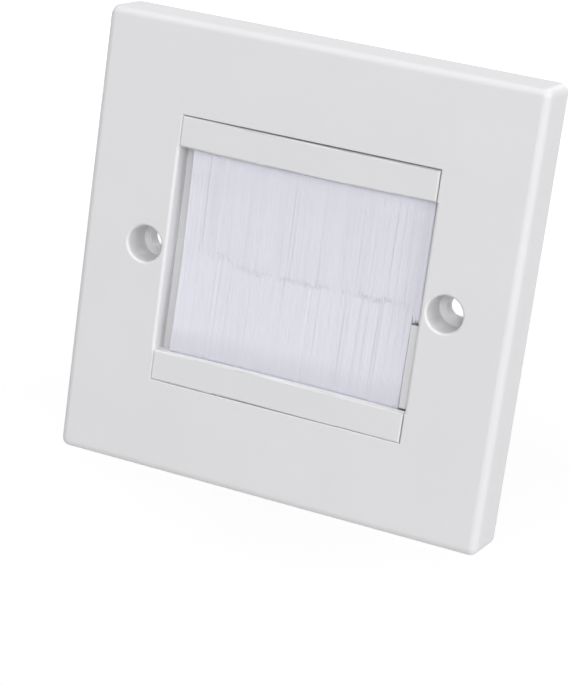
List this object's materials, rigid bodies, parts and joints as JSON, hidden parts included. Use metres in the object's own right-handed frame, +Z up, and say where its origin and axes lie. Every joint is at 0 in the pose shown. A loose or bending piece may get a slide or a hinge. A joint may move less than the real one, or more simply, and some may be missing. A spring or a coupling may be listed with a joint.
{
  "type": "brush cable wall plate",
  "caption": "Square wall plate with a rectangular window closed by facing rows of bristles, so cables pass through the wall; screw holes at each side.",
  "frame": {"origin": "midway between the two screw holes, in the plane of the wall that the plate's back rests on", "axes": "+X to the right as seen from the room, +Y into the wall, +Z up"},
  "size_m": [0.0864, 0.0095, 0.0864],
  "materials": {
    "plate_plastic": "white moulding, satin gloss",
    "frame_plastic": "white moulding, satin gloss",
    "bristle_nylon": "fine white nylon filaments with a cool tint",
    "channel_steel": "folded zinc-plated sheet",
    "wire_steel": "drawn zinc-plated wire"
  },
  "bodies": {
    "root": {"face_plate": "plate_plastic", "brush_frame": "frame_plastic", "upper_channel": "channel_steel", "lower_channel": "channel_steel", "upper_core_wire": "wire_steel", "lower_core_wire": "wire_steel", "upper_bristles": "bristle_nylon", "lower_bristles": "bristle_nylon"}
  },
  "joints": []
}
